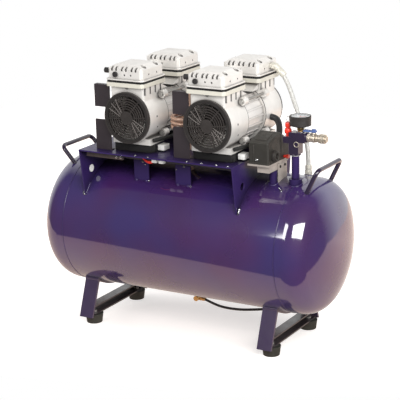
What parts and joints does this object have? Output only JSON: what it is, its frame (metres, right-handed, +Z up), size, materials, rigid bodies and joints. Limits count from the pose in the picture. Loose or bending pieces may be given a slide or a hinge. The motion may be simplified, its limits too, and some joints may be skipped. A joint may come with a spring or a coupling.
{
  "type": "dental air compressor",
  "caption": "Oil-free dental air compressor: twin-head pumps on a deck above a lying receiver with handles, legs, pressure switch, gauge and drain.",
  "frame": {"origin": "on the floor, under the middle of the receiver", "axes": "+X along the receiver towards the pressure switch and gauge, +Y to the back, +Z up"},
  "size_m": [0.7188, 0.3, 0.617],
  "materials": {
    "tank_paint": "gloss",
    "deck_paint": "satin",
    "dark_paint": "satin",
    "frame_paint": "satin",
    "cast_silver": "satin",
    "cast_cream": "satin",
    "steel": "satin",
    "black_rubber": "matt",
    "black_plastic": "matt",
    "white_plastic": "matt",
    "red_plastic": "gloss",
    "blue_plastic": "satin",
    "copper": "satin",
    "brass": "satin",
    "chrome": "gloss",
    "glass": "gloss",
    "hose_plastic": "gloss"
  },
  "bodies": {
    "compressor": {"baffle_plates": "dark_paint", "ball_valve": "chrome", "cable_gland": "black_plastic", "cooling_coil": "copper", "cranks_and_pistons": "cast_silver", "crossover_pipes": "white_plastic", "cylinder_liners": "steel", "discharge_hose": "hose_plastic", "drain_cock": "brass", "drain_tube": "black_rubber", "foot_channels": "frame_paint", "gauge_case": "black_plastic", "gauge_lens": "glass", "gauge_stem": "brass", "head_gaskets": "black_rubber", "head_silencers": "black_plastic", "hose_fittings": "brass", "left_crankcase_front": "cast_silver", "left_crankcase_rear": "cast_silver", "left_cylinder_heads": "cast_silver", "left_fan_guards": "black_plastic", "left_motor_barrel": "cast_silver", "leg_strap_left": "frame_paint", "leg_strap_right": "frame_paint", "lifting_handle_left": "frame_paint", "lifting_handle_right": "frame_paint", "manifold_block": "deck_paint", "manifold_pipe": "deck_paint", "motor_leads": "black_rubber", "motor_stators": "steel", "outlet_coupler": "brass", "pressure_switch_base": "steel", "pressure_switch_cover": "black_plastic", "pressure_switch_pipe": "deck_paint", "pump_deck": "deck_paint", "right_crankcase_front": "cast_silver", "right_crankcase_rear": "cast_silver", "right_cylinder_heads": "cast_silver", "right_fan_guards": "black_plastic", "right_motor_barrel": "cast_silver", "rubber_feet": "black_rubber", "rubber_mounts": "black_rubber", "safety_valve": "red_plastic", "screws_and_nuts": "steel", "shaft_bearings": "steel", "switch_cable": "black_rubber", "tank_end_left": "tank_paint", "tank_end_right": "tank_paint", "tank_shell": "tank_paint", "valve_plates": "cast_cream"},
    "left_rotor": {"left_rotor_shaft": "steel", "left_fans": "black_plastic"},
    "right_rotor": {"right_rotor_shaft": "steel", "right_fans": "black_plastic"},
    "needle": {"gauge_needle": "red_plastic"},
    "relief_ring": {"safety_valve_ring": "steel"},
    "valve_lever": {"ball_valve_lever": "blue_plastic"},
    "knob": {"switch_knob": "red_plastic"},
    "sleeve": {"coupler_sleeve": "chrome"},
    "tap": {"drain_tap": "brass"}
  },
  "joints": [
    {"name": "left_shaft_spin", "type": "hinge", "parent": "compressor", "child": "left_rotor", "pos_m": [-0.1, -0.004, 0.501], "axis": [0, 1, 0], "continuous": true},
    {"name": "right_shaft_spin", "type": "hinge", "parent": "compressor", "child": "right_rotor", "pos_m": [0.1, -0.004, 0.501], "axis": [0, 1, 0], "continuous": true},
    {"name": "gauge_reading", "type": "hinge", "parent": "compressor", "child": "needle", "pos_m": [0.276, -0.035, 0.519], "axis": [0, 0, -1], "range_deg": [0, 270], "stiffness_Nm_per_rad": 0.0005},
    {"name": "relief_pull", "type": "slide", "parent": "compressor", "child": "relief_ring", "axis": [0, 0, 1], "range_m": [0, 0.003], "stiffness_N_per_m": 800},
    {"name": "outlet_valve_turn", "type": "hinge", "parent": "compressor", "child": "valve_lever", "pos_m": [0.307, -0.035, 0.492], "axis": [0, 0, 1], "range_deg": [-90, 0]},
    {"name": "switch_knob_pull", "type": "slide", "parent": "compressor", "child": "knob", "axis": [1, 0, 0], "range_m": [0, 0.004]},
    {"name": "coupler_release", "type": "slide", "parent": "compressor", "child": "sleeve", "axis": [-1, 0, 0], "range_m": [0, 0.003], "stiffness_N_per_m": 500},
    {"name": "drain_tap_turn", "type": "hinge", "parent": "compressor", "child": "tap", "pos_m": [0, -0.0138, 0.068], "axis": [0, 1, 0], "range_deg": [0, 90]}
  ]
}
